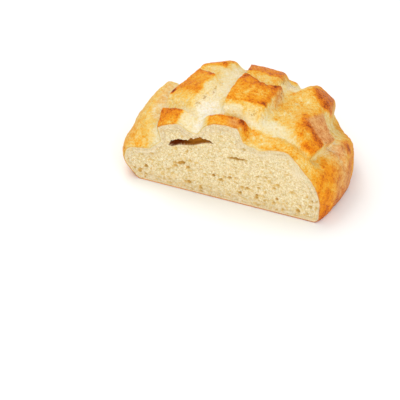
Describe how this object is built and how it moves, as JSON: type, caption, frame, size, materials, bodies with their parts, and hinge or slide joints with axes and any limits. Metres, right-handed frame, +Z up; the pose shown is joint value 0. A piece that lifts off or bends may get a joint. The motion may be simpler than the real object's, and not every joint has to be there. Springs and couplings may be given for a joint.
{
  "type": "cut crusty cob loaf",
  "caption": "Round crusty bread loaf scored in a lattice, cut down one side to show a flat face of open crumb, resting on its flat base.",
  "frame": {"origin": "middle of the base of the loaf's box, on the surface that the loaf stands on", "axes": "+X along the cut, to the right as the crumb is seen from the front; +Y from the cut face into the loaf; +Z up"},
  "size_m": [0.2264, 0.1742, 0.1005],
  "materials": {
    "crust": "baked golden crust with orange-brown plates and pale torn scores, dull sheen",
    "crumb": "matte porous cream crumb"
  },
  "bodies": {
    "root": {"loaf": "crust"}
  },
  "joints": []
}
